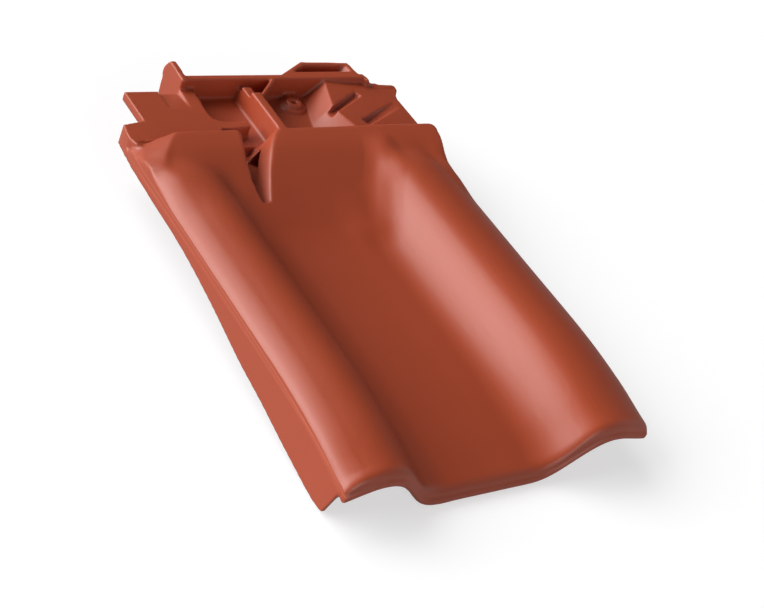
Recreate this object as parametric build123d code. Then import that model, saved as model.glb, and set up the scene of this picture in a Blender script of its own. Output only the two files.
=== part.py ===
from build123d import *
import math
import os

# Ridge verge tile, left hand, one piece of fired clay, in millimetres.
# X runs across the tile from the verge side, Y from the front edge up to the head, Z up.
# The tile lies on its underside: the front edge and the hanging nibs touch the floor.

# The sheet and its cross-section, at the front edge
VERGE_SIDE = -85.4
RIGHT_SIDE = 197.0
PAN_TOP = 12.5
LEFT_CREST = 45.3
RIGHT_CREST = 46.8
SHOULDER_WIDTH = 20.6
SHOULDER_DROP = 17.0
SHOULDER_TURN = 74.0
LEFT_FLANK = (-47.0, 4.0)
RIGHT_FLANK = (97.0, 149.0)
RIGHT_FALL_START = 158.0
RIGHT_FALL = 11.5
LEFT_CREST_UNDER = 31.8
RIGHT_CREST_UNDER = 31.7
LEFT_FLANK_UNDER = (-46.0, 0.0)
RIGHT_FLANK_UNDER = (96.0, 160.0)
BEAD_UNDER = 25.5

# The length: the front droops to its edge, and the head ramps up to a flat hood
DROOP = 12.0
DROOP_LENGTH = 110.0
HOOD_TOP = 58.0
HOOD_THICKNESS = 12.5
HOOD_END = 354.6
HOOD_ROUND = 2.5
HOOD_CORNER = 6.0
RAMP_FOOT = 257.0
RAMP_SLOPE = 0.44
ROLL_FADE = (296.0, 350.0)
ROLL_SINK = 13.0
BEND = 6.0
FLARE = 14.0
FLARE_RUN = (288.0, 352.0)
CORNER_RUN = (262.0, 352.0)
CORNER_IN = 29.0
CORNER_SLOPE = 0.75

# The front edge
NOSE_ROUND = 5.0
LIP_PROUD = 1.8
LIP_THICKNESS = 6.0
LIP_REBATE = 0.6

# The verge flap
FLAP_FACE = -86.0
FLAP_THICKNESS = 10.0
FLAP_HEAD = 379.0
FLAP_BEND = 318.0
FLAP_HEAD_IN = 6.3

# The head tray behind the hood
TRAY_UNDER = 26.0
TRAY_FLOOR = 36.0
SHELF_TOP = 47.0
SHELF_END = 421.5
BOX_LEFT = -9.0
TRAY_RIGHT = 206.5
RIM_FRONT = 424.5
RIM_BACK = 430.5
RIM_TOP = 56.0
RIM_RIGHT = 180.0
BANK_TOP = 53.0
RIB = (48.0, 57.0)
RIB_TOP = 57.5
NAIL_AT = (101.0, 411.0)
NAIL_HOLE = 2.75
SLOT_LEAN = 0.61


def ease(value, start, end):
    """0 before start, 1 after end, with a smooth turn at both."""
    t = min(max((value - start) / (end - start), 0.0), 1.0)
    return t * t * (3 - 2 * t)


def rounded_max(a, b, bend=BEND):
    return (a + b + math.sqrt((a - b) ** 2 + bend**2)) / 2


def rounded_min(a, b, bend=BEND):
    return (a + b - math.sqrt((a - b) ** 2 + bend**2)) / 2


def inset(y):
    """How far the verge side bends in towards the head."""
    return FLAP_HEAD_IN * max((y - FLAP_BEND) / (FLAP_HEAD - FLAP_BEND), 0.0) ** 2


def quarter_round(radius, past):
    """How far a rounded edge has turned away, this far past the start of its turn."""
    t = min(max(past, 0.0) / radius, 1.0)
    return radius * (1 - math.sqrt(1 - t * t))


def right_side(y):
    turned = quarter_round(HOOD_CORNER, y - HOOD_END + HOOD_CORNER)
    return RIGHT_SIDE + FLARE * ease(y, *FLARE_RUN) - turned


def shoulder_end():
    """Where the rounded verge shoulder meets the crest."""
    return VERGE_SIDE + SHOULDER_WIDTH * math.sin(math.radians(SHOULDER_TURN))


def waves_over(x):
    """Weather face across the tile at the front edge."""
    if x < LEFT_FLANK[0]:
        u = max(shoulder_end() - x, 0.0) / SHOULDER_WIDTH
        return LEFT_CREST - SHOULDER_DROP * (1 - math.sqrt(max(1 - u * u, 0.0)))
    if x < 50:
        return LEFT_CREST + (PAN_TOP - LEFT_CREST) * ease(x, *LEFT_FLANK)
    fall = max(x - RIGHT_FALL_START, 0.0) / (RIGHT_SIDE - RIGHT_FALL_START)
    return PAN_TOP + (RIGHT_CREST - PAN_TOP) * ease(x, *RIGHT_FLANK) - RIGHT_FALL * fall**2


def waves_under(x):
    """Underside across the tile at the front edge."""
    if x < LEFT_FLANK_UNDER[0]:
        return LEFT_CREST_UNDER - 7 * ((LEFT_FLANK_UNDER[0] - x) / 37) ** 2
    if x < 50:
        return LEFT_CREST_UNDER * (1 - ease(x, *LEFT_FLANK_UNDER))
    fall = max(x - RIGHT_FLANK_UNDER[1], 0.0) / (RIGHT_SIDE - RIGHT_FLANK_UNDER[1])
    wave = RIGHT_CREST_UNDER * ease(x, *RIGHT_FLANK_UNDER) - RIGHT_FALL * fall**2
    return wave if x < 165 else rounded_max(wave, BEAD_UNDER, 3.0)


def lengthwise(y):
    """What the droop and the fading rolls add to the waves."""
    lift = DROOP * (1 - (1 - min(max(y, 0.0) / DROOP_LENGTH, 1.0)) ** 2)
    return lift - ROLL_SINK * ease(y, *ROLL_FADE)


def cornered(z, x, y, height, foot):
    """The verge corner of the hood falls away beyond a curved line, down to its foot."""
    if x > 0 or y < CORNER_RUN[0]:
        return z
    t = (y - CORNER_RUN[0]) / (CORNER_RUN[1] - CORNER_RUN[0])
    corner = VERGE_SIDE + CORNER_IN * t**1.7
    flank = rounded_max(height + CORNER_SLOPE * (x - corner), foot, 3.0)
    return rounded_min(z, flank, 4.0)


def over(x, y):
    ramp = PAN_TOP + DROOP + RAMP_SLOPE * (y - RAMP_FOOT)
    z = rounded_max(waves_over(x) + lengthwise(y), rounded_min(ramp, HOOD_TOP))
    return cornered(z, x, y, HOOD_TOP + 2, SHELF_TOP - 6.5)


def under(x, y):
    ramp = DROOP + RAMP_SLOPE * (y - RAMP_FOOT - 6)
    z = rounded_max(waves_under(x) + lengthwise(y), rounded_min(ramp, HOOD_TOP - HOOD_THICKNESS))
    return cornered(z, x, y, HOOD_TOP - 8, SHELF_TOP - 14)


def end_drop(y):
    """How far the rounded front and head edges fall below the weather face."""
    return quarter_round(NOSE_ROUND, NOSE_ROUND - y) + quarter_round(HOOD_ROUND, y - HOOD_END + HOOD_ROUND)


def spread(start, end, count):
    return [start + (end - start) * i / count for i in range(count + 1)]


def stations_across():
    """Sample places across the tile, close together round the steep verge shoulder."""
    knee = shoulder_end()
    angles = spread(SHOULDER_TURN, 0, 5)[:-1]
    turn = [knee - SHOULDER_WIDTH * math.sin(math.radians(a)) for a in angles]
    return turn + spread(knee, RIGHT_SIDE, 18)


def marks(points):
    """How far along a line of points each one lies, from 0 to 1."""
    steps = [0.0]
    for before, after in zip(points, points[1:]):
        steps.append(steps[-1] + math.dist(before, after))
    return [step / steps[-1] for step in steps]


def cross_section(y, at, top, bottom, trim=0.0):
    """The closed outline of the sheet at one place along it."""
    left = VERGE_SIDE + inset(y) + trim
    stretch = (right_side(y) - trim - left) / (RIGHT_SIDE - VERGE_SIDE)
    low_places = spread(VERGE_SIDE, RIGHT_SIDE, 16)

    def place(x):
        return left + (x - VERGE_SIDE) * stretch

    upper = [Vector(place(x), at, top(place(x))) for x in stations_across()]
    lower = [Vector(place(x), at, bottom(place(x))) for x in low_places]
    upper_marks = marks([(x, waves_over(x)) for x in stations_across()])
    lower_marks = [i / 16 for i in range(17)]
    wire = Wire([
        Edge.make_spline(upper, parameters=upper_marks),
        Line(upper[-1], lower[-1]),
        Edge.make_spline(lower[::-1], parameters=lower_marks),
        Line(lower[0], upper[0]),
    ])
    return Face(wire)


def sheet():
    """The waved sheet with its rounded front edge, lofted through cross-sections."""
    nose = [NOSE_ROUND * (1 - math.cos(math.radians(a))) for a in (0, 25, 50, 75)]
    head = [HOOD_END - HOOD_ROUND * (1 - math.sin(math.radians(a))) for a in (0, 35, 65, 90)]
    places = nose + spread(9, 105, 4) + spread(150, 225, 2) + spread(250, 347, 8) + head
    return loft([
        cross_section(y, y + LIP_PROUD, lambda x: over(x, y) - end_drop(y), lambda x: under(x, y))
        for y in places
    ])


def block(x, y, z):
    """A box between two corners, given as (from, to) pairs."""
    return Pos(x[0], y[0], z[0]) * Box(
        x[1] - x[0], y[1] - y[0], z[1] - z[0], align=(Align.MIN, Align.MIN, Align.MIN)
    )


def plan(points, z):
    """An upright prism over an outline seen from above, between two heights."""
    face = make_face(Polyline(*[(x, y, z[0]) for x, y in points], close=True))
    return extrude(face, amount=z[1] - z[0], dir=(0, 0, 1))


def drafted(base, top, z):
    """A prism whose sides slope from one outline to another of as many corners."""
    low = make_face(Polyline(*[(x, y, z[0]) for x, y in base], close=True))
    high = make_face(Polyline(*[(x, y, z[1]) for x, y in top], close=True))
    return loft([low, high], ruled=True)


def side_plate(x, lower, upper):
    """A plate upright along the verge, between two smooth curves of (y, z) points."""
    bottom = Spline(*[(x[0], y, z) for y, z in lower])
    top = Spline(*[(x[0], y, z) for y, z in upper])
    ends = [Line(bottom @ 1, top @ 1), Line(top @ 0, bottom @ 0)]
    return extrude(make_face(Wire([bottom, top, *ends])), amount=x[1] - x[0], dir=(1, 0, 0))


def front_lip():
    """The low lip under the rounded front edge, following the section."""
    def section(at):
        y = max(at - LIP_PROUD, 0.0)
        return cross_section(
            y, at, lambda x: under(x, y) + LIP_THICKNESS, lambda x: under(x, y) + LIP_REBATE, LIP_REBATE
        )

    return loft([section(0), section(LIP_PROUD + 2)], ruled=True)


def verge_flap():
    """The hanging flap: from the notch at the front to its bent-in head end."""
    lower = [
        (14, 2.2), (27, 0.6), (43, 2), (75, 6), (109, 11), (142, 14.6), (178, 20.8),
        (215, 26.4), (252, 30.2), (288, 31.3), (325, 31.8), (380, 28.5),
    ]
    upper = [(7, 29), (20, 32), (45, 35.8), (70, 37.8), (100, 38.2), (200, 38.2), (290, 38), (380, 36.5)]
    plate = side_plate((FLAP_FACE, FLAP_FACE + FLAP_HEAD_IN + FLAP_THICKNESS), lower, upper)
    bend = [(FLAP_FACE + inset(y), y) for y in spread(FLAP_BEND, FLAP_HEAD, 4)]
    inner = [(x + FLAP_THICKNESS, y) for x, y in bend[::-1]]
    face = Wire([
        Line((FLAP_FACE, 0), bend[0]),
        Spline(*bend),
        Line(bend[-1], inner[0]),
        Spline(*inner),
        Line(inner[-1], (FLAP_FACE + FLAP_THICKNESS, 0)),
        Line((FLAP_FACE + FLAP_THICKNESS, 0), (FLAP_FACE, 0)),
    ])
    return plate & extrude(make_face(face), amount=RIM_TOP, dir=(0, 0, 1))


def bank():
    """The raised right part of the tray: a steep flank, and a top that falls to the side."""
    def section(y, foot, crest):
        corners = [(foot, TRAY_FLOOR - 1), (foot, TRAY_FLOOR), (crest, BANK_TOP),
                   (TRAY_RIGHT, SHELF_TOP), (TRAY_RIGHT, TRAY_FLOOR - 1)]
        return make_face(Polyline(*[(x, y, z) for x, z in corners], close=True))

    return loft([section(350, 95, 134), section(386, 107, 123), section(RIM_FRONT + 1, 120, 136)], ruled=True)


def head_tray():
    """The tray that the next tile covers: shelf, box, rim, fin, lug and bank."""
    shelf = plan(
        [(-74, 342), (-75.4, 348.5), (-80, 353.5), (-82.2, 362.6), (-81.6, 370), (-79.7, FLAP_HEAD),
         (-60, 383), (-60, SHELF_END), (0, SHELF_END), (0, 342)],
        (SHELF_TOP - 8, SHELF_TOP),
    )
    cheek = plan(
        [(-68, 342), (-75.4, 348.5), (-80, 353.5), (-82.2, 362.6), (-81.6, 370), (-79.7, FLAP_HEAD),
         (-68, FLAP_HEAD)],
        (31.5, SHELF_TOP),
    )
    box = plan(
        [(BOX_LEFT, 345), (BOX_LEFT, RIM_BACK), (RIM_RIGHT, RIM_BACK), (190, 424.3), (212, 424.3),
         (214.8, 422), (214.8, 417.5), (208.5, 409.5), (TRAY_RIGHT, 404), (TRAY_RIGHT, 345)],
        (TRAY_UNDER, SHELF_TOP),
    )
    edge_strip = plan([(178, 420), (213.8, 420), (214.3, 422), (212, 424), (178, 424)], (TRAY_FLOOR, 48.2))
    rim = block((BOX_LEFT, RIM_RIGHT), (RIM_FRONT, RIM_BACK), (TRAY_UNDER, RIM_TOP))
    fall = extrude(
        make_face(Wire([
            Line((RIM_RIGHT - 1, 421, 40), (RIM_RIGHT - 1, 421, RIM_TOP)),
            Line((RIM_RIGHT - 1, 421, RIM_TOP), (RIM_RIGHT + 2, 421, RIM_TOP - 0.5)),
            ThreePointArc((RIM_RIGHT + 2, 421, RIM_TOP - 0.5), (186, 421, 50.5), (196, 421, 48)),
            Line((196, 421, 48), (196, 421, 40)),
            Line((196, 421, 40), (RIM_RIGHT - 1, 421, 40)),
        ])),
        amount=6, dir=(0, 1, 0),
    )
    fin_side = Wire([
        Line((BOX_LEFT, 422, 24), (BOX_LEFT, 422, 57)),
        Line((BOX_LEFT, 422, 57), (BOX_LEFT, 447, 58.5)),
        Spline((BOX_LEFT, 447, 58.5), (BOX_LEFT, 451.6, 52), (BOX_LEFT, 453.6, 43.5), (BOX_LEFT, 451.5, 40)),
        Line((BOX_LEFT, 451.5, 40), (BOX_LEFT, 450.5, 24)),
        Line((BOX_LEFT, 450.5, 24), (BOX_LEFT, 422, 24)),
    ])
    fin = extrude(make_face(fin_side), amount=5.5, dir=(1, 0, 0))
    lug = plan([(92, 430), (123, 449), (173, 447.5), (175, 430)], (TRAY_UNDER + 4, RIM_TOP))
    floor = block((0, 62), (276, 350), (22, 29))
    return shelf + cheek + box + edge_strip + rim + fall + fin + lug + floor


def tray_hollows():
    """Everything sunk into the tray from above."""
    depth = (TRAY_FLOOR, SHELF_TOP + 0.1)
    left = plan(
        [(2.5, 390), (4, 384), (8.5, 380), (14, 378.8), (48.5, 378.8), (48.5, RIM_FRONT), (5, RIM_FRONT)], depth
    )
    trough = plan([(5, 355), (5, 369), (33.5, 370.5), (33.5, 380), (48.5, 380), (48.5, 355)], depth)
    middle = plan([(56.5, 355), (131, 355), (123, 386), (135, RIM_FRONT), (56.5, RIM_FRONT)], depth)
    pocket = drafted(
        [(112, 434), (126, 443.5), (150, 443), (150, 434)],
        [(106, 434.5), (125, 445), (168.5, 443.5), (170, 434.5)],
        (34, RIM_TOP + 0.1),
    )
    ramp = Wire([
        Line((-29.3, 396.5, SHELF_TOP + 0.05), (-29.3, 422, SHELF_TOP - 3)),
        Line((-29.3, 422, SHELF_TOP - 3), (-29.3, 422, SHELF_TOP + 1)),
        Line((-29.3, 422, SHELF_TOP + 1), (-29.3, 396.5, SHELF_TOP + 0.05)),
    ])
    recess = extrude(make_face(ramp), amount=20, dir=(1, 0, 0))
    return left + trough + middle + pocket + recess


def slot():
    """The notch in the hood: upright at the verge side, leaning over at the other."""
    def outline(z):
        lean = SLOT_LEAN * (z - HOOD_TOP)
        verge = Spline((4.7, 287, z), (1.6, 300, z), (3.4, 324, z), (10.5, 350, z))
        leaning = [(24, 288.5), (26.4, 310), (34.4, 337.5), (51, 357.5)]
        other = Spline(*[(x + lean, y, z) for x, y in leaning])
        return make_face(Wire([
            verge,
            Line(verge @ 1, (9.5, 357.5, z)),
            Line((9.5, 357.5, z), other @ 1),
            other,
            Line(other @ 0, verge @ 0),
        ]))

    return loft([outline(29), outline(62)], ruled=True)


def grooves():
    """Two slanting grooves across the bank, as (start, end, width, bottom)."""
    cutters = []
    for start, end, width, bottom in (
        ((118, 381), (163.5, 408.5), 6.5, 47.6), ((146, 366.5), (199, 395), 8, 46),
    ):
        run = math.hypot(end[0] - start[0], end[1] - start[1])
        angle = math.degrees(math.atan2(end[1] - start[1], end[0] - start[0]))
        cutters.append(Pos(start[0], start[1], bottom) * Rot(0, 0, angle) * Box(
            run, width, 10, align=(Align.MIN, Align.CENTER, Align.MIN)))
    return cutters[0] + cutters[1]


def fittings():
    """Rib, gusset and nail boss standing in the tray."""
    foot = TRAY_FLOOR - 1
    rib = block(RIB, (355.6, 404), (foot, RIB_TOP))
    rib += block(RIB, (403, 418.5), (foot, 52))
    gusset = plan([(53, 399), (56.5, 399), (84.5, 425), (80.5, 425.5)], (foot, RIM_TOP))
    standing = (Align.CENTER, Align.CENTER, Align.MIN)
    mound = Pos(*NAIL_AT, foot) * Cone(13, 11.5, 3, align=standing)
    boss = Pos(*NAIL_AT, foot) * Cone(9.5, 7, 6, align=standing)
    web = block((NAIL_AT[0] - 3, NAIL_AT[0] + 9), (NAIL_AT[1], RIM_FRONT + 1), (foot, foot + 5))
    return rib + gusset + mound + boss + web


def hanging_nibs():
    """Two nibs that hook over the batten, and bring the head level."""
    nibs = []
    for x in (14, 142):
        outline = Polyline((x + 3, 397, 0), (x + 37, 397, 0), (x + 41, 397, 27), (x - 1, 397, 27), close=True)
        nibs.append(extrude(make_face(outline), amount=16, dir=(0, 1, 0)))
    return nibs[0] + nibs[1]


def tile():
    body = sheet() + front_lip() + verge_flap()
    body += head_tray()
    body -= tray_hollows()
    body -= slot()
    body += bank() - grooves()
    body += fittings() + hanging_nibs()
    body -= Pos(*NAIL_AT, 0) * Cylinder(NAIL_HOLE, 120)
    return body


os.makedirs("parts", exist_ok=True)
piece = tile()
size = piece.bounding_box()
piece = Pos(-(size.min.X + size.max.X) / 2, -(size.min.Y + size.max.Y) / 2, -size.min.Z) * piece
export_step(piece, "parts/tile.step")
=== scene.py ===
import math
import bpy
import numpy as np
from mathutils import Matrix, Vector


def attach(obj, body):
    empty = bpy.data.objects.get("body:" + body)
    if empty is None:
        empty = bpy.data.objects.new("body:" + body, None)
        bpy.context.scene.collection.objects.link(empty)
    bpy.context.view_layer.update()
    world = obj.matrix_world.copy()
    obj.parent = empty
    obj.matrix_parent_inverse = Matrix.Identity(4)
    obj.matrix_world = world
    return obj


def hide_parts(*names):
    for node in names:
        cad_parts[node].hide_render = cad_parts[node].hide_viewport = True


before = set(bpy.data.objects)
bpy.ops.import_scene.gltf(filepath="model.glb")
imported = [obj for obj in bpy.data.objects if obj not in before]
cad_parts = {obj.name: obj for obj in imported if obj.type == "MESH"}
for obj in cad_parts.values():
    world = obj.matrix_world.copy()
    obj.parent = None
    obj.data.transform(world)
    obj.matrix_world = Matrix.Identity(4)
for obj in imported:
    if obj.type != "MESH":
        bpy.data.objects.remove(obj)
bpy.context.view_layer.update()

# The camera stands where the photograph's did, found from the tile's parallel edges
CAMERA_PLACE = (-0.7246, -0.7125, 0.7184)
CAMERA_RIGHT = (0.79522, -0.49643, 0.34820)
CAMERA_UP = (0.09552, 0.66957, 0.73667)
CAMERA_AHEAD = (0.59878, 0.55254, -0.57985)
SENSOR_WIDTH = 36
LENS = 73.5
NEAREST_SEEN = 0.05

# The studio: the floor as the camera sees it, how much of that a sheen shows, and the dimmer tone
# that the floor and the room have for the light itself
FLOOR_SIZE = 12
FLOOR_GLOW = 0.6
FLOOR_TONE = 0.5
FLOOR_DIM = 0.2
SHEEN_SHARE = 0.4
ROOM_LIGHT = 0.05
WHITE = 1.0

# The clay's colours, and where the paler edge (partly rubbed clay, partly a painted highlight) and the
# painted shade in hollows start and are full, as Pointiness measures them
CLAY_RED = (0.385, 0.059, 0.02, 1)
WORN_AND_HIGHLIT_RED = (0.56, 0.15, 0.08, 1)
WORN_AND_HIGHLIT_SHARE = 0.6
WORN_AND_HIGHLIT_ARRIS = (0.53, 0.6)
PAINTED_RECESS_SHADE = (0.485, 0.42)

# The clay's satin face: its roughness from one firing cloud to the next, and its grain in metres
SPECULAR = 0.68
ROUGHNESS = (0.41, 0.50)
GRAIN_STRENGTH = 0.25
GRAIN_DEPTH = 0.0002

# The mould's parting line along the flap, painted as a pale highlight, in metres: the stretch of Y that it
# runs over, its height at shares of that stretch, half its width, and the X that only the flap's outer
# face lies beyond
LINE_RUN = (-0.227, 0.1)
LINE_HEIGHTS = ((0.0, 0.030), (0.06, 0.0345), (0.25, 0.0405), (0.45, 0.042), (1.0, 0.0425))
LINE_HEIGHT_SCALE = 0.1
LINE_HALF_WIDTH = 0.0004
LINE_FACE = -0.1485

# The skin over the solid, in metres
MERGE_REACH = 0.00001
SKIN_VOXEL = 0.001
MOST_FACES = 190000

# The tile's form is worked out in millimetres: x runs across from the inner foot of the verge roll,
# y up the roof from the front edge, and z up from the floor. These sizes are the solid's own. Its ramp
# rises from RAMP_START, and HOOD_END is just past the hood's back edge.
DRAWING_ORIGIN = (-64.4, -226.89, 0.0)
FLAP_FACE = -86.0
SHEET_SIDE = -85.4
PAN_LEVEL = 24.5
COVERED_FLANK = (97.0, 149.0)
COVERED_RISE = 34.3
FRONT_DROOP = 12.0
DROOP_LENGTH = 110.0
RAMP_FOOT = 257.0
RAMP_START = 7.0
RAMP_SLOPE = 0.44
RAMP_BEND = 6.0
HOOD_TOP = 58.0
HOOD_END = 356.6
SHOULDER = (-65.6, -86.2)
SHOULDER_DROP = 14.6
CORNER_RUN = (262.0, 352.0)
CORNER_PAST = 1.05
CORNER_IN = 29.0
CORNER_BEND = 1.7
CORNER_TOP = HOOD_TOP + 2
CORNER_SLOPE = 0.75

# How far up the skin's normal points where it starts to count as the weather face, and where it fully does
FACES_UP = (0.05, 0.4)
CREASE_FACES_UP = (0.05, 0.35)

# The arch of the verge roll, across, along and up
ARCH = (-44.0, FLAP_FACE)
ARCH_BEGINS = (-4.0, 12.0)
ARCH_ENDS = (262.0, 310.0)
ARCH_LEVELS = (41.0, 48.0)

# The crease that parts the hood from its verge flank
HOOD_FACE = HOOD_TOP - 0.5
HOOD_SHOULDER_DROP = 15.0
HOOD_SHOULDER_ENDS = (300.0, 345.0)
SOLID_CORNER_BLEND = 8.0
CREASE_IN = 35.7
CREASE_BEND = 2.2
CREASE_SLOPE = 0.5
CREASE_BLEND = 1.2
CREASE_BEGINS = (285.0, 302.0)
CREASE_ENDS_ACROSS = (-45.0, -35.0)
CREASE_LEVELS = (44.0, 48.0)
CREASE_MOST = 4.0

# The curl of the covered side
CURL = 3.0
CURL_ACROSS = (182.0, 197.0)
CURL_BEGINS = (255.0, 290.0)
CURL_ENDS = (300.0, 345.0)
CURL_FLOOR = 30.0

# The soft corner between the ramp and the covered roll
FILL = 6.0
FILL_REACH = 24.0
HOOD_BLEND = 4.0
FILL_ACROSS = ((62.0, 96.0), (142.0, 158.0))
FILL_ALONG = ((225.0, 262.0), (326.0, 348.0))
FILL_FLOOR = 20.0

# The thin front end of the flap, whose edge leans back towards its foot
FLAP_EDGE = (7.0, 29.0)
FLAP_EDGE_LEAN = 0.26
FLAP_TAPER = 16.0
FLAP_THINNEST = 0.3
FLAP_END_LEVELS = (20.0, 28.0)
FLAP_INSIDE = -74.5
FLAP_END_LENGTH = 40.0

# The rounder edge at the hood's back and slot, and on the cheek beside it
HOOD_EDGE_LEVELS = (48.0, 51.0)
HOOD_EDGE_BEGINS = (283.0, 290.0)
HOOD_EDGE_END = HOOD_END + 0.2
CHEEK_SIDE = -66.0
CHEEK_FOOT = 40.0
CHEEK_BEGINS = (330.0, 338.0)
CHEEK_END = 353.0
LEAST_SHARE = 0.02


def photo_camera():
    data = bpy.data.cameras.new("photo_camera")
    data.sensor_width = SENSOR_WIDTH
    data.lens = LENS
    data.clip_start = NEAREST_SEEN
    camera = bpy.data.objects.new("photo_camera", data)
    bpy.context.scene.collection.objects.link(camera)
    axes = Matrix((Vector(CAMERA_RIGHT), Vector(CAMERA_UP), -Vector(CAMERA_AHEAD)))
    camera.matrix_world = Matrix.Translation(Vector(CAMERA_PLACE)) @ axes.transposed().to_4x4()
    bpy.context.scene.camera = camera


# Shader helpers

def new_material(name):
    material = bpy.data.materials.new(name)
    material.use_nodes = True
    nodes = material.node_tree.nodes
    nodes.clear()
    return material, nodes, material.node_tree.links


def math_node(nodes, links, operation, *values):
    """One step of arithmetic on numbers and on the outputs of other nodes."""
    node = nodes.new("ShaderNodeMath")
    node.operation = operation
    for socket, value in zip(node.inputs, values):
        if isinstance(value, float):
            socket.default_value = value
        else:
            links.new(value, socket)
    return node.outputs[0]


def share_of_way(nodes, links, value, start, end, low=0.0, high=1.0):
    """From low, where the value is at its start, to high, where it is at its end."""
    node = nodes.new("ShaderNodeMapRange")
    for name, number in (("From Min", start), ("From Max", end), ("To Min", low), ("To Max", high)):
        node.inputs[name].default_value = number
    links.new(value, node.inputs["Value"])
    return node.outputs["Result"]


def noise(nodes, links, vector, scale, detail, roughness=0.5):
    node = nodes.new("ShaderNodeTexNoise")
    node.inputs["Detail"].default_value = detail
    node.inputs["Roughness"].default_value = roughness
    links.new(vector, node.inputs["Vector"])
    links.new(scale, node.inputs["Scale"])
    return node


def grey_shader(nodes, kind, tone):
    node = nodes.new(kind)
    node.inputs["Color"].default_value = (tone, tone, tone, 1)
    return node


def mixed_shader(nodes, links, share, first, second):
    """The first shader where the share is nothing, and the second where it is one."""
    node = nodes.new("ShaderNodeMixShader")
    for socket, source in zip(node.inputs, (share, first, second)):
        links.new(source, socket)
    return node.outputs[0]


def new_group(name, numbers, colours, results):
    """A node group that takes a vector, numbers and colours, with what it is given and its results."""
    group = bpy.data.node_groups.new(name, "ShaderNodeTree")
    face = group.interface
    face.new_socket("Vector", in_out="INPUT", socket_type="NodeSocketVector")
    for label, value in numbers:
        face.new_socket(label, in_out="INPUT", socket_type="NodeSocketFloat").default_value = value
    for label, value in colours:
        face.new_socket(label, in_out="INPUT", socket_type="NodeSocketColor").default_value = value
    for label, kind in results:
        face.new_socket(label, in_out="OUTPUT", socket_type=kind)
    nodes = group.nodes
    return group, nodes.new("NodeGroupInput").outputs, nodes.new("NodeGroupOutput").inputs


# The pressed and fired clay

def clay_tone_and_painted_light_group():
    """Soft clouds that the kiln leaves, the clay's finer speckle, a paler edge that is partly rubbed clay
    and partly a painted highlight, and painted shade that darkens the hollows.
    """
    group, given, result = new_group(
        "clay_tone_and_painted_light",
        (("Cloud Size", 9.0), ("Cloud Amount", 0.1), ("Speckle Size", 900.0), ("Speckle Amount", 0.1),
         ("Edge", 0.0), ("Edge Amount", 0.3), ("Painted Recess Shade", 0.0), ("Painted Recess Shade Amount", 0.5)),
        (("Color", (0.4, 0.06, 0.02, 1)), ("Edge Color", (0.6, 0.2, 0.12, 1))),
        (("Color", "NodeSocketColor"), ("Cloud", "NodeSocketFloat")),
    )
    nodes, links = group.nodes, group.links

    def swing(texture, amount):
        """A factor about one, which the texture moves up and down."""
        centred = math_node(nodes, links, "SUBTRACT", texture.outputs["Fac"], 0.5)
        return math_node(nodes, links, "MULTIPLY_ADD", centred, given[amount], 1.0)

    cloud = noise(nodes, links, given["Vector"], given["Cloud Size"], 4, 0.6)
    speckle = noise(nodes, links, given["Vector"], given["Speckle Size"], 2, 0.6)
    mottle = math_node(
        nodes, links, "MULTIPLY", swing(cloud, "Cloud Amount"), swing(speckle, "Speckle Amount")
    )
    # Painted shade: the colour darkens in hollows and creases, where shade falls.
    shade = math_node(nodes, links, "MULTIPLY", given["Painted Recess Shade"], given["Painted Recess Shade Amount"])
    light = math_node(nodes, links, "SUBTRACT", 1.0, shade)
    tone = nodes.new("ShaderNodeVectorMath")
    tone.operation = "SCALE"
    links.new(given["Color"], tone.inputs[0])
    links.new(math_node(nodes, links, "MULTIPLY", mottle, light), tone.inputs["Scale"])
    worn_and_highlit = nodes.new("ShaderNodeMix")
    worn_and_highlit.data_type = "RGBA"
    # The paler edge colour is partly rubbed clay and partly a painted highlight on the arrises and along
    # the parting line.
    wear_and_highlight = math_node(nodes, links, "MULTIPLY", given["Edge"], given["Edge Amount"])
    links.new(wear_and_highlight, worn_and_highlit.inputs["Factor"])
    # A Mix node's sockets for colours share their names with those for numbers, so these go by index
    colour_a, colour_b, colour_out = worn_and_highlit.inputs[6], worn_and_highlit.inputs[7], worn_and_highlit.outputs[2]
    links.new(tone.outputs[0], colour_a)
    links.new(given["Edge Color"], colour_b)
    links.new(colour_out, result["Color"])
    links.new(cloud.outputs["Fac"], result["Cloud"])
    return group


def clay_grain_group():
    """Fine sand in the pressed face, and the faint long waves of the die."""
    group, given, result = new_group(
        "clay_grain",
        (("Sand Size", 1400.0), ("Wave Size", 35.0), ("Wave Share", 1.5)),
        (),
        (("Height", "NodeSocketFloat"),),
    )
    nodes, links = group.nodes, group.links
    sand = noise(nodes, links, given["Vector"], given["Sand Size"], 3)
    wave = noise(nodes, links, given["Vector"], given["Wave Size"], 1)
    height = math_node(
        nodes, links, "MULTIPLY_ADD", wave.outputs["Fac"], given["Wave Share"], sand.outputs["Fac"]
    )
    links.new(height, result["Height"])
    return group


def parting_line_highlight(nodes, links, place):
    """One on the hairline that the two halves of the mould leave along the flap, under the roll, where a
    pale line is painted as the highlight on that ridge.
    """
    parts = nodes.new("ShaderNodeSeparateXYZ")
    links.new(place, parts.inputs[0])
    route = nodes.new("ShaderNodeFloatCurve")
    curve = route.mapping.curves[0]
    shares = [(share, height / LINE_HEIGHT_SCALE) for share, height in LINE_HEIGHTS]
    for point, share in zip(curve.points, shares):
        point.location = share
    for share in shares[len(curve.points):]:
        curve.points.new(*share)
    route.mapping.update()
    links.new(share_of_way(nodes, links, parts.outputs["Y"], *LINE_RUN), route.inputs["Value"])
    height = math_node(nodes, links, "MULTIPLY", route.outputs[0], LINE_HEIGHT_SCALE)
    near = math_node(nodes, links, "COMPARE", parts.outputs["Z"], height, LINE_HALF_WIDTH)
    outside = math_node(nodes, links, "LESS_THAN", parts.outputs["X"], LINE_FACE)
    return math_node(nodes, links, "MULTIPLY", near, outside)


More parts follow.
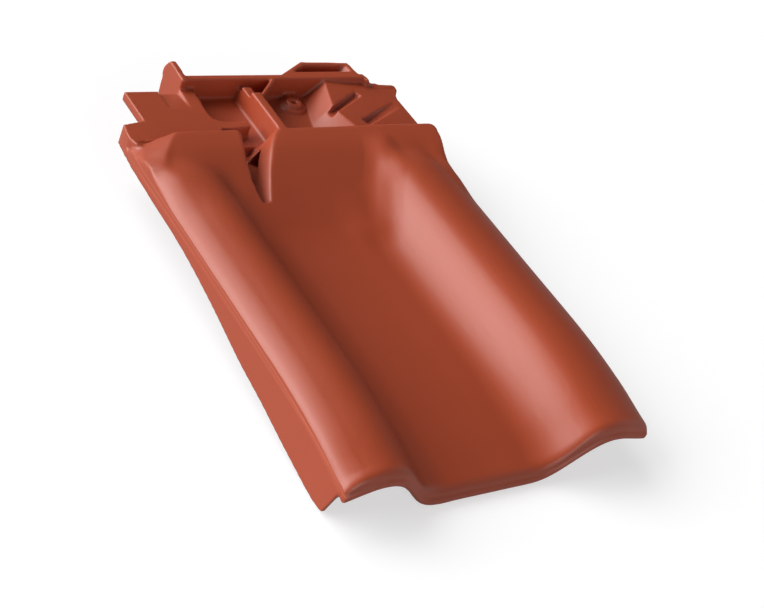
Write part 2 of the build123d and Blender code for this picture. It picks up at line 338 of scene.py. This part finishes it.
def fired_clay():
    material, nodes, links = new_material("fired_clay")
    output = nodes.new("ShaderNodeOutputMaterial")
    shader = nodes.new("ShaderNodeBsdfPrincipled")
    shader.inputs["Specular IOR Level"].default_value = SPECULAR
    links.new(shader.outputs[0], output.inputs["Surface"])
    place = nodes.new("ShaderNodeTexCoord").outputs["Object"]
    pointed = nodes.new("ShaderNodeNewGeometry").outputs["Pointiness"]
    # Partly rubbed clay and partly a painted highlight: a paler colour on convex arrises, where light
    # catches the edges.
    edge = share_of_way(nodes, links, pointed, *WORN_AND_HIGHLIT_ARRIS)
    tone = nodes.new("ShaderNodeGroup")
    tone.node_tree = clay_tone_and_painted_light_group()
    tone.inputs["Color"].default_value = CLAY_RED
    tone.inputs["Edge Color"].default_value = WORN_AND_HIGHLIT_RED
    tone.inputs["Edge Amount"].default_value = WORN_AND_HIGHLIT_SHARE
    links.new(place, tone.inputs["Vector"])
    links.new(
        # The pale band on the parting line is a painted highlight.
        math_node(nodes, links, "MAXIMUM", edge, parting_line_highlight(nodes, links, place)), tone.inputs["Edge"]
    )
    # Painted shade in the hollows, measured by Pointiness.
    links.new(share_of_way(nodes, links, pointed, *PAINTED_RECESS_SHADE), tone.inputs["Painted Recess Shade"])
    links.new(tone.outputs["Color"], shader.inputs["Base Color"])
    satin = share_of_way(nodes, links, tone.outputs["Cloud"], 0.0, 1.0, *ROUGHNESS)
    links.new(satin, shader.inputs["Roughness"])
    grain = nodes.new("ShaderNodeGroup")
    grain.node_tree = clay_grain_group()
    links.new(place, grain.inputs["Vector"])
    bump = nodes.new("ShaderNodeBump")
    bump.inputs["Strength"].default_value = GRAIN_STRENGTH
    bump.inputs["Distance"].default_value = GRAIN_DEPTH
    links.new(grain.outputs["Height"], bump.inputs["Height"])
    links.new(bump.outputs["Normal"], shader.inputs["Normal"])
    return material


# The tile's form. The functions that shape it move the drawn points of its skin in place.

def ease(value, start, end):
    """Nothing before the start and one past the end, with a smooth turn at both."""
    share = np.clip((value - start) / (end - start), 0, 1)
    return share * share * (3 - 2 * share)


def stretch(value, begins, ends):
    """One along a stretch that eases in over one pair of places and out over another."""
    return ease(value, *begins) * (1 - ease(value, *ends))


def quarter_round(value, start, end):
    """How far a rounded edge has turned down, from nothing at its start to one at its end."""
    share = np.clip((value - start) / (end - start), 0, 1)
    return 1 - np.sqrt(1 - share**2)


def smooth_least(first, second, blend):
    """The lesser of two heights, with a soft corner where they cross."""
    share = np.clip(0.5 + 0.5 * (second - first) / blend, 0, 1)
    return second * (1 - share) + first * share - blend * share * (1 - share)


def rounded_most(first, second, bend):
    """The greater of two heights, with a rounded corner where they cross."""
    return (first + second + np.sqrt((first - second) ** 2 + bend**2)) / 2


def weather_face(facing, slope=FACES_UP):
    """One where the skin faces up, and nothing where it faces down or sideways."""
    return ease(facing[:, 2], *slope)


def read_points(mesh):
    """The vertices in drawn millimetres, and the way that each of them faces."""
    points = np.empty(len(mesh.vertices) * 3, dtype=np.float32)
    mesh.vertices.foreach_get("co", points)
    facing = np.empty(len(mesh.vertices) * 3, dtype=np.float32)
    mesh.vertices.foreach_get("normal", facing)
    drawn = points.reshape(-1, 3).astype(float) * 1000 - np.array(DRAWING_ORIGIN)
    return drawn, facing.reshape(-1, 3).astype(float)


def write_points(mesh, drawn):
    points = (drawn + np.array(DRAWING_ORIGIN)) / 1000
    mesh.vertices.foreach_set("co", points.astype(np.float32).ravel())
    mesh.update()


def arch_verge_roll(drawn, facing):
    """The top of the verge roll is a full arch, not a flat with a tight shoulder."""
    x, y, z = drawn.T
    lowered = SHOULDER_DROP * (quarter_round(x, *SHOULDER) - quarter_round(x, *ARCH))
    undrooped = z + FRONT_DROOP * (1 - np.clip(y / DROOP_LENGTH, 0, 1)) ** 2
    share = weather_face(facing) * stretch(y, ARCH_BEGINS, ARCH_ENDS) * ease(undrooped, *ARCH_LEVELS)
    drawn[:, 2] = z + share * lowered


def crease_hood_corner(drawn, facing):
    """A crisp curved crease parts the hood from the flank that falls to the verge."""
    x, y, z = drawn.T
    along = np.clip((y - CORNER_RUN[0]) / (CORNER_RUN[1] - CORNER_RUN[0]), 0, CORNER_PAST)
    shoulder = HOOD_SHOULDER_DROP * quarter_round(x, *SHOULDER) * (1 - ease(y, *HOOD_SHOULDER_ENDS))
    hood = HOOD_FACE - shoulder
    solid_corner = SHEET_SIDE + CORNER_IN * along**CORNER_BEND
    solid_flank = CORNER_TOP + CORNER_SLOPE * (x - solid_corner)
    solid_top = smooth_least(hood, solid_flank, SOLID_CORNER_BLEND)
    crease = SHEET_SIDE + CREASE_IN * along**CREASE_BEND
    flank = HOOD_TOP + CREASE_SLOPE * (x - crease)
    wanted = smooth_least(hood, flank, CREASE_BLEND)
    share = weather_face(facing, CREASE_FACES_UP) * ease(y, *CREASE_BEGINS) * (y < HOOD_END)
    share = share * (1 - ease(x, *CREASE_ENDS_ACROSS)) * ease(z, *CREASE_LEVELS)
    drawn[:, 2] = z + share * np.clip(wanted - solid_top, -CREASE_MOST, CREASE_MOST)


def curl_covered_side(drawn, facing):
    """The covered side turns up a little where it meets the hood."""
    x, y, z = drawn.T
    lift = CURL * ease(x, *CURL_ACROSS) * stretch(y, CURL_BEGINS, CURL_ENDS)
    drawn[:, 2] = z + lift * weather_face(facing) * (z > CURL_FLOOR)


def fill_ramp_corner(drawn, facing):
    """The covered roll runs out softly where the ramp to the hood rises against its flank."""
    x, y, z = drawn.T
    roll = rounded_most(PAN_LEVEL + COVERED_RISE * ease(x, *COVERED_FLANK), RAMP_START, RAMP_BEND)
    ramp = smooth_least(PAN_LEVEL + RAMP_SLOPE * (y - RAMP_FOOT), HOOD_TOP, HOOD_BLEND)
    wide_fill = FILL * np.clip(1 - np.abs(roll - ramp) / FILL_REACH, 0, 1) ** 2
    solid_fill = rounded_most(roll, ramp, RAMP_BEND) - np.maximum(roll, ramp)
    added = np.maximum(wide_fill - solid_fill, 0)
    share = stretch(x, *FILL_ACROSS) * stretch(y, *FILL_ALONG) * weather_face(facing)
    drawn[:, 2] = z + added * share * (z > FILL_FLOOR)


def thin_flap_end(drawn):
    """The flap's front end tapers from its hidden side to a thin rounded edge."""
    x, y, z = drawn.T
    edge = FLAP_EDGE[0] + FLAP_EDGE_LEAN * (FLAP_EDGE[1] - z)
    kept = FLAP_THINNEST + (1 - FLAP_THINNEST) * ease(y - edge, 0, FLAP_TAPER)
    share = (1 - ease(z, *FLAP_END_LEVELS)) * (x < FLAP_INSIDE) * (y < FLAP_END_LENGTH)
    drawn[:, 0] = x + share * (kept - 1) * (x - FLAP_FACE)


def refine(piece, name, kind, **settings):
    """Adds one modifier to the piece, which has to be the active object, and applies it."""
    modifier = piece.modifiers.new(name, kind)
    for setting, value in settings.items():
        setattr(modifier, setting, value)
    bpy.ops.object.modifier_apply(modifier=name)


def soften_hood_edge(piece):
    """The hood's back edge and the mouth of its slot are rounder than the other arrises."""
    x, y, z = read_points(piece.data)[0].T
    back = ease(z, *HOOD_EDGE_LEVELS) * ease(y, *HOOD_EDGE_BEGINS) * (y < HOOD_EDGE_END)
    cheek = (x < CHEEK_SIDE) * (z > CHEEK_FOOT) * ease(y, *CHEEK_BEGINS) * (y < CHEEK_END)
    share = np.maximum(back, cheek)
    group = piece.vertex_groups.new(name="hood_edge")
    for index in np.flatnonzero(share > LEAST_SHARE):
        group.add([int(index)], float(share[index]), "REPLACE")
    refine(piece, "round_hood_edge", "SMOOTH", factor=0.5, iterations=22, vertex_group="hood_edge")
    piece.vertex_groups.clear()


def pressed_skin(solid):
    """A copy of the solid, softened all over as clay is when it leaves the press."""
    bpy.ops.object.select_all(action="DESELECT")
    piece = bpy.data.objects.new("fired_tile", solid.data.copy())
    bpy.context.scene.collection.objects.link(piece)
    bpy.context.view_layer.objects.active = piece
    piece.select_set(True)
    bpy.ops.object.mode_set(mode="EDIT")
    bpy.ops.mesh.select_all(action="SELECT")
    bpy.ops.mesh.remove_doubles(threshold=MERGE_REACH)
    bpy.ops.object.mode_set(mode="OBJECT")
    refine(piece, "pressed_skin", "REMESH", mode="VOXEL", voxel_size=SKIN_VOXEL)
    refine(piece, "soft_arrises", "SMOOTH", factor=0.5, iterations=3)
    return piece


def dress_tile(clay):
    piece = pressed_skin(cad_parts["tile"])
    soften_hood_edge(piece)
    drawn, facing = read_points(piece.data)
    arch_verge_roll(drawn, facing)
    crease_hood_corner(drawn, facing)
    curl_covered_side(drawn, facing)
    fill_ramp_corner(drawn, facing)
    thin_flap_end(drawn)
    write_points(piece.data, drawn)
    refine(piece, "settled_skin", "SMOOTH", factor=0.5, iterations=2)
    triangles = 2 * len(piece.data.polygons)
    refine(piece, "fewer_faces", "DECIMATE", ratio=min(1.0, MOST_FACES / triangles))
    bpy.ops.object.shade_smooth()
    piece.data.materials.clear()
    piece.data.materials.append(clay)
    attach(piece, "root")
    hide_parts("tile")


# Floor, lamps and room

def seen_share(nodes, links):
    """One for the camera's rays and through glass, less in a sheen, and nothing for the light itself."""
    path = nodes.new("ShaderNodeLightPath").outputs
    sheen = math_node(nodes, links, "MULTIPLY", path["Is Glossy Ray"], SHEEN_SHARE)
    seen = math_node(nodes, links, "MAXIMUM", path["Is Camera Ray"], sheen)
    return math_node(nodes, links, "MAXIMUM", seen, path["Is Transmission Ray"])


def pale_stage():
    bpy.ops.object.select_all(action="DESELECT")
    bpy.ops.mesh.primitive_plane_add(size=FLOOR_SIZE, location=(0, 0, 0))
    floor = bpy.context.object
    floor.name = "studio_floor"
    material, nodes, links = new_material("studio_floor")
    output = nodes.new("ShaderNodeOutputMaterial")
    dim = grey_shader(nodes, "ShaderNodeBsdfDiffuse", FLOOR_DIM)
    matt = grey_shader(nodes, "ShaderNodeBsdfDiffuse", FLOOR_TONE)
    glow = grey_shader(nodes, "ShaderNodeEmission", WHITE)
    glow.inputs["Strength"].default_value = FLOOR_GLOW
    pale = nodes.new("ShaderNodeAddShader")
    links.new(glow.outputs[0], pale.inputs[0])
    links.new(matt.outputs[0], pale.inputs[1])
    surface = mixed_shader(nodes, links, seen_share(nodes, links), dim.outputs[0], pale.outputs[0])
    links.new(surface, output.inputs["Surface"])
    floor.data.materials.append(material)


def soft_sun(name, azimuth, elevation, spread, strength):
    """A wide lamp so far off that it lights the whole floor alike; azimuth runs from +X to +Y."""
    data = bpy.data.lights.new(name, "SUN")
    data.angle = math.radians(spread)
    data.energy = strength
    lamp = bpy.data.objects.new(name, data)
    bpy.context.scene.collection.objects.link(lamp)
    turn, rise = math.radians(azimuth), math.radians(elevation)
    towards = Vector((math.cos(rise) * math.cos(turn), math.cos(rise) * math.sin(turn), math.sin(rise)))
    lamp.location = 2 * towards
    lamp.rotation_euler = towards.to_track_quat("Z", "Y").to_euler()


def soft_room():
    """A faint even light from all round, which the camera sees as white."""
    world = bpy.data.worlds.new("soft_room")
    bpy.context.scene.world = world
    world.use_nodes = True
    nodes, links = world.node_tree.nodes, world.node_tree.links
    nodes.clear()
    output = nodes.new("ShaderNodeOutputWorld")
    soft = grey_shader(nodes, "ShaderNodeBackground", WHITE)
    soft.inputs["Strength"].default_value = ROOM_LIGHT
    white = grey_shader(nodes, "ShaderNodeBackground", WHITE)
    white.inputs["Strength"].default_value = 1.0
    seen = nodes.new("ShaderNodeLightPath").outputs["Is Camera Ray"]
    surface = mixed_shader(nodes, links, seen, soft.outputs[0], white.outputs[0])
    links.new(surface, output.inputs["Surface"])


def studio_light():
    soft_sun("key_lamp", azimuth=155, elevation=19, spread=50, strength=3.7)
    soft_sun("back_lamp", azimuth=116, elevation=42, spread=40, strength=1.45)
    soft_sun("front_fill", azimuth=265, elevation=13, spread=40, strength=1.1)
    soft_sun("side_fill", azimuth=345, elevation=16, spread=50, strength=0.3)
    soft_room()


photo_camera()
dress_tile(fired_clay())
pale_stage()
studio_light()
bpy.context.scene.view_settings.view_transform = "Standard"
